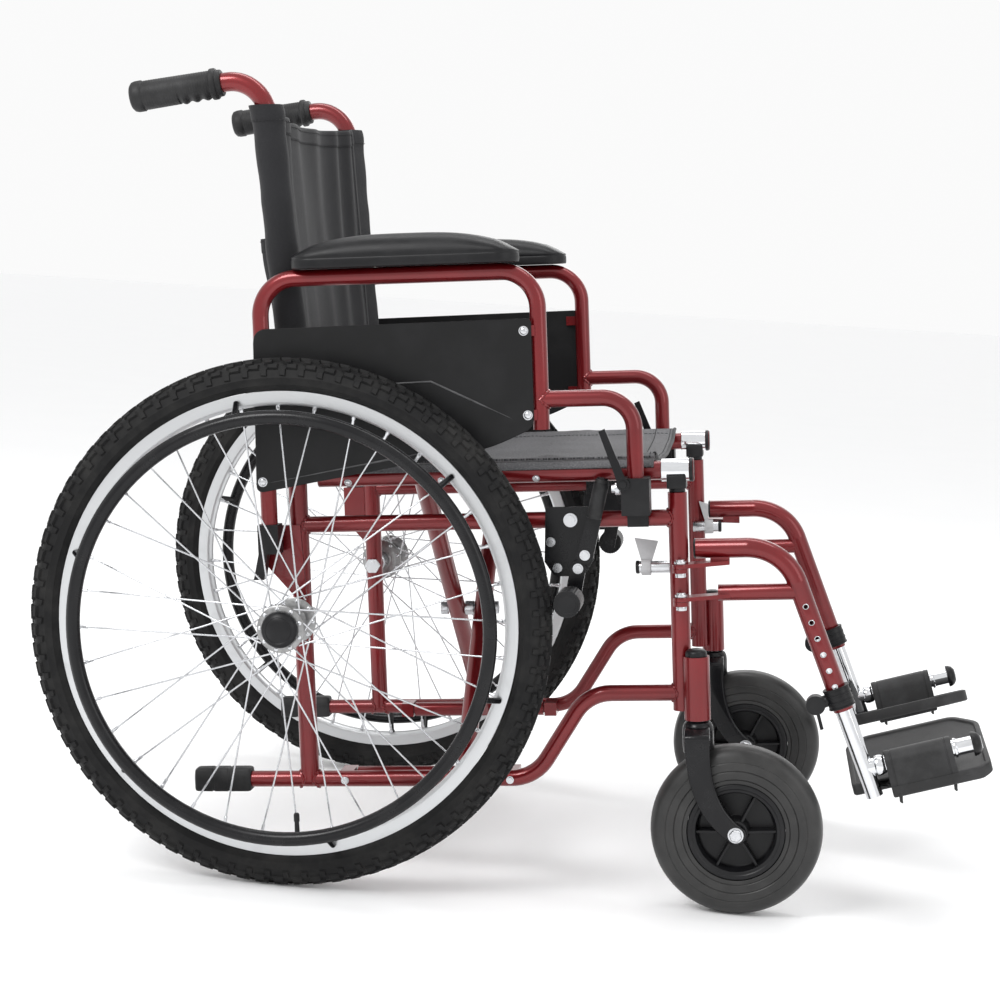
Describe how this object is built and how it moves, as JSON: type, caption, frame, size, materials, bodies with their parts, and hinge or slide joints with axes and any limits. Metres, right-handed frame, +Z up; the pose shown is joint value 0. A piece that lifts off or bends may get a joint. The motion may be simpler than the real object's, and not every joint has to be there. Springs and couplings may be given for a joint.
{
  "type": "manual wheelchair",
  "caption": "Folding manual wheelchair with spoked rear wheels, solid front casters, fabric seat and back, lift-off arms, wheel brakes and swing-away footrests.",
  "frame": {"origin": "on the floor, midway between the rearmost and foremost points and on the mid-plane", "axes": "+X forward, +Y to the user's left, +Z up"},
  "size_m": [1.1112, 0.701, 0.9286],
  "materials": {
    "red_paint": "metallic dark red gloss",
    "black_rubber": "matt",
    "tread_rubber": "matt",
    "caster_rubber": "satin",
    "black_plastic": "satin",
    "black_composite": "fine grain",
    "grey_plastic": "satin",
    "black_steel": "satin black",
    "black_panel": "satin sheet",
    "zinc_steel": "bright zinc",
    "hub_metal": "bright with black cap",
    "aluminium": "brushed",
    "chrome": "polished",
    "pad_skin": "moulded skin",
    "seat_fabric": "woven nylon",
    "back_fabric": "woven nylon"
  },
  "bodies": {
    "right_frame": {"right_side_frame": "red_paint", "right_frame_plugs": "black_rubber", "right_push_grip": "black_rubber", "right_arm_sockets": "black_plastic", "right_frame_bolts": "zinc_steel", "right_brake_bracket": "black_steel", "right_rear_axle": "zinc_steel", "back_sling": "back_fabric"},
    "left_frame": {"left_side_frame": "red_paint", "left_frame_plugs": "black_rubber", "left_push_grip": "black_rubber", "left_arm_sockets": "black_plastic", "left_frame_bolts": "zinc_steel", "left_brake_bracket": "black_steel", "left_rear_axle": "zinc_steel"},
    "brace_front": {"brace_front": "red_paint", "cross_bolt": "zinc_steel"},
    "brace_rear": {"brace_rear": "red_paint"},
    "seat": {"seat_sling": "seat_fabric"},
    "right_wheel": {"right_rear_tyre": "tread_rubber", "right_rear_rim": "aluminium", "right_rear_spokes": "zinc_steel", "right_rear_handrim": "black_steel", "right_rear_hub": "hub_metal"},
    "right_caster": {"right_caster_fork": "black_steel", "right_caster_bolt": "zinc_steel"},
    "right_caster_wheel": {"right_caster_tyre": "caster_rubber", "right_caster_hub": "black_plastic"},
    "right_armrest": {"right_armrest_tube": "red_paint", "right_arm_pad": "pad_skin", "right_skirt_guard": "black_panel"},
    "right_arm_lock": {"right_arm_lock": "black_steel"},
    "right_brake_lever": {"right_brake_lever": "black_steel"},
    "right_brake_shoe": {"right_brake_shoe": "black_steel"},
    "right_hanger": {"right_hanger": "red_paint", "right_height_clamp": "black_plastic"},
    "right_latch": {"right_latch_lever": "grey_plastic"},
    "right_footrest": {"right_footrest_tube": "chrome"},
    "right_footplate": {"right_footplate": "black_composite"},
    "left_wheel": {"left_rear_tyre": "tread_rubber", "left_rear_rim": "aluminium", "left_rear_spokes": "zinc_steel", "left_rear_handrim": "black_steel", "left_rear_hub": "hub_metal"},
    "left_caster": {"left_caster_fork": "black_steel", "left_caster_bolt": "zinc_steel"},
    "left_caster_wheel": {"left_caster_tyre": "caster_rubber", "left_caster_hub": "black_plastic"},
    "left_armrest": {"left_armrest_tube": "red_paint", "left_arm_pad": "pad_skin", "left_skirt_guard": "black_panel"},
    "left_arm_lock": {"left_arm_lock": "black_steel"},
    "left_brake_lever": {"left_brake_lever": "black_steel"},
    "left_brake_shoe": {"left_brake_shoe": "black_steel"},
    "left_hanger": {"left_hanger": "red_paint", "left_height_clamp": "black_plastic"},
    "left_latch": {"left_latch_lever": "grey_plastic"},
    "left_footrest": {"left_footrest_tube": "chrome"},
    "left_footplate": {"left_footplate": "black_composite"}
  },
  "joints": [
    {"name": "fold", "type": "hinge", "parent": "right_frame", "child": "brace_front", "pos_m": [-0.09206, -0.197, 0.12032], "axis": [0.9955, 0, 0.0946], "range_deg": [0, 38], "deforming": ["seat_sling", "back_sling"]},
    {"name": "cross_pivot", "type": "hinge", "parent": "brace_front", "child": "brace_rear", "pos_m": [-0.08563, 0, 0.2904], "axis": [0.9955, 0, 0.0946], "range_deg": [-77, 0]},
    {"name": "left_frame_fold", "type": "hinge", "parent": "brace_rear", "child": "left_frame", "pos_m": [-0.09206, 0.197, 0.12032], "axis": [0.9955, 0, 0.0946], "range_deg": [0, 39]},
    {"name": "seat_rail_turn", "type": "hinge", "parent": "brace_rear", "child": "seat", "pos_m": [-0.0273, -0.22, 0.48519], "axis": [0.9955, 0, 0.0946], "range_deg": [0, 39]},
    {"name": "right_wheel_spin", "type": "hinge", "parent": "right_frame", "child": "right_wheel", "pos_m": [-0.25211, -0.2975, 0.3035], "axis": [0, 1, 0], "continuous": true},
    {"name": "right_caster_swivel", "type": "hinge", "parent": "right_frame", "child": "right_caster", "pos_m": [0.21434, -0.236, 0.25743], "axis": [0.0946, 0, -0.9955], "continuous": true},
    {"name": "right_caster_spin", "type": "hinge", "parent": "right_caster", "child": "right_caster_wheel", "pos_m": [0.27063, -0.236, 0.0985], "axis": [0, 1, 0], "continuous": true},
    {"name": "right_armrest_lift", "type": "slide", "parent": "right_frame", "child": "right_armrest", "axis": [-0.0946, 0, 0.9955], "range_m": [0, 0.09]},
    {"name": "right_arm_lock_turn", "type": "hinge", "parent": "right_frame", "child": "right_arm_lock", "pos_m": [0.11706, -0.272, 0.48826], "axis": [0, 1, 0], "range_deg": [0, 55]},
    {"name": "right_brake_pull", "type": "hinge", "parent": "right_frame", "child": "right_brake_lever", "pos_m": [0.07708, -0.243, 0.40159], "axis": [0, -1, 0], "range_deg": [0, 45]},
    {"name": "right_brake_press", "type": "hinge", "parent": "right_frame", "child": "right_brake_shoe", "pos_m": [0.06964, -0.2363, 0.38471], "axis": [0, 1, 0], "range_deg": [0, 5.2]},
    {"name": "right_hanger_swing", "type": "hinge", "parent": "right_frame", "child": "right_hanger", "pos_m": [0.18805, -0.242, 0.37548], "axis": [0.0946, 0, -0.9955], "range_deg": [0, 90]},
    {"name": "right_latch_turn", "type": "hinge", "parent": "right_frame", "child": "right_latch", "pos_m": [0.14572, -0.2017, 0.38752], "axis": [-0.9955, 0, -0.0946], "range_deg": [0, 50]},
    {"name": "right_footrest_height", "type": "slide", "parent": "right_hanger", "child": "right_footrest", "axis": [0.4056, 0, -0.914], "range_m": [0, 0.06]},
    {"name": "right_footplate_flip", "type": "hinge", "parent": "right_footrest", "child": "right_footplate", "pos_m": [0.46835, -0.212, 0.19519], "axis": [0.9493, 0, 0.3145], "range_deg": [0, 90]},
    {"name": "left_wheel_spin", "type": "hinge", "parent": "left_frame", "child": "left_wheel", "pos_m": [-0.25211, 0.2975, 0.3035], "axis": [0, 1, 0], "continuous": true},
    {"name": "left_caster_swivel", "type": "hinge", "parent": "left_frame", "child": "left_caster", "pos_m": [0.21434, 0.236, 0.25743], "axis": [-0.0946, 0, 0.9955], "continuous": true},
    {"name": "left_caster_spin", "type": "hinge", "parent": "left_caster", "child": "left_caster_wheel", "pos_m": [0.27063, 0.236, 0.0985], "axis": [0, 1, 0], "continuous": true},
    {"name": "left_armrest_lift", "type": "slide", "parent": "left_frame", "child": "left_armrest", "axis": [-0.0946, 0, 0.9955], "range_m": [0, 0.09]},
    {"name": "left_arm_lock_turn", "type": "hinge", "parent": "left_frame", "child": "left_arm_lock", "pos_m": [0.11706, 0.272, 0.48826], "axis": [0, 1, 0], "range_deg": [0, 55]},
    {"name": "left_brake_pull", "type": "hinge", "parent": "left_frame", "child": "left_brake_lever", "pos_m": [0.07708, 0.243, 0.40159], "axis": [0, -1, 0], "range_deg": [0, 45]},
    {"name": "left_brake_press", "type": "hinge", "parent": "left_frame", "child": "left_brake_shoe", "pos_m": [0.06964, 0.2363, 0.38471], "axis": [0, 1, 0], "range_deg": [0, 5.2]},
    {"name": "left_hanger_swing", "type": "hinge", "parent": "left_frame", "child": "left_hanger", "pos_m": [0.18805, 0.242, 0.37548], "axis": [-0.0946, 0, 0.9955], "range_deg": [0, 90]},
    {"name": "left_latch_turn", "type": "hinge", "parent": "left_frame", "child": "left_latch", "pos_m": [0.20047, 0.2017, 0.39273], "axis": [0.9955, 0, 0.0946], "range_deg": [0, 50]},
    {"name": "left_footrest_height", "type": "slide", "parent": "left_hanger", "child": "left_footrest", "axis": [0.4056, 0, -0.914], "range_m": [0, 0.06]},
    {"name": "left_footplate_flip", "type": "hinge", "parent": "left_footrest", "child": "left_footplate", "pos_m": [0.46835, 0.212, 0.19519], "axis": [-0.9493, 0, -0.3145], "range_deg": [0, 90]}
  ],
  "couplings": [
    {"joint": "cross_pivot", "follows": "fold", "ratio": -2},
    {"joint": "left_frame_fold", "follows": "fold", "ratio": 1},
    {"joint": "seat_rail_turn", "follows": "fold", "ratio": 1},
    {"joint": "right_brake_press", "follows": "right_brake_pull", "ratio": 0.11},
    {"joint": "right_footplate_flip", "follows": "fold", "ratio": 1.9},
    {"joint": "left_brake_press", "follows": "left_brake_pull", "ratio": 0.11},
    {"joint": "left_footplate_flip", "follows": "fold", "ratio": 1.9}
  ]
}
